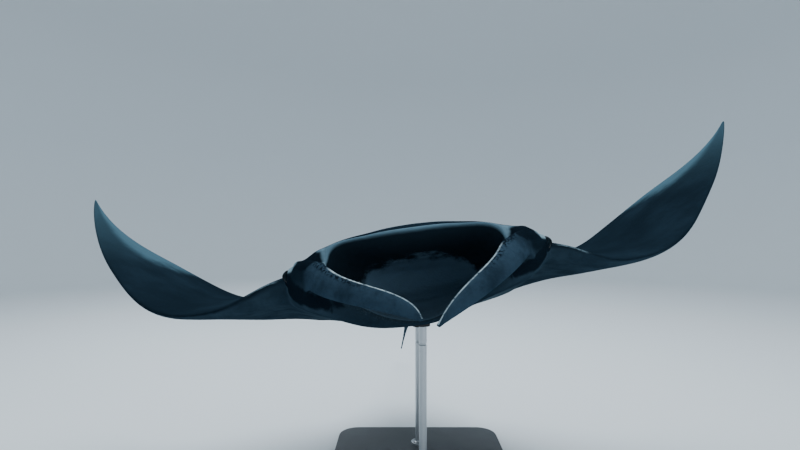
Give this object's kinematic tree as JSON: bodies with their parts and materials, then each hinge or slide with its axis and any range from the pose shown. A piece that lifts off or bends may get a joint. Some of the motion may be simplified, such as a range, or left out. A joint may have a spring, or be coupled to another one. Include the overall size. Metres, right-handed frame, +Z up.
{
  "type": "manta ray model on a display stand",
  "caption": "Life-size reef manta ray swimming toward the viewer with its mouth open and wings raised, on a plain display stand",
  "frame": {"origin": "middle of the stand base's flat underside, on the floor", "axes": "+Z up, -Y the way the ray's mouth faces, +X toward the ray's left wing"},
  "size_m": [2.969, 2.6917, 1.5521],
  "materials": {
    "skin": "wet matt skin, blue-black above and pale grey below",
    "eye": "glossy dark eye",
    "stand_plate": "satin dark grey plate",
    "stand_steel": "brushed steel rod",
    "stand_pad": "matt black pad"
  },
  "bodies": {
    "root": {"head": "skin", "trunk": "skin", "wing_root_left": "skin", "wing_middle_left": "skin", "wing_tip_left": "skin", "wing_root_right": "skin", "wing_middle_right": "skin", "wing_tip_right": "skin", "cephalic_lobe_left": "skin", "cephalic_lobe_right": "skin", "eye_left": "eye", "eye_right": "eye", "dorsal_fin": "skin", "pelvic_fin_left": "skin", "pelvic_fin_right": "skin", "tail_root": "skin", "tail_middle": "skin", "tail_tip": "skin", "stand_base": "stand_plate", "stand_rod_front": "stand_steel", "stand_rod_rear": "stand_steel", "stand_pad_front": "stand_pad", "stand_pad_rear": "stand_pad"}
  },
  "joints": []
}
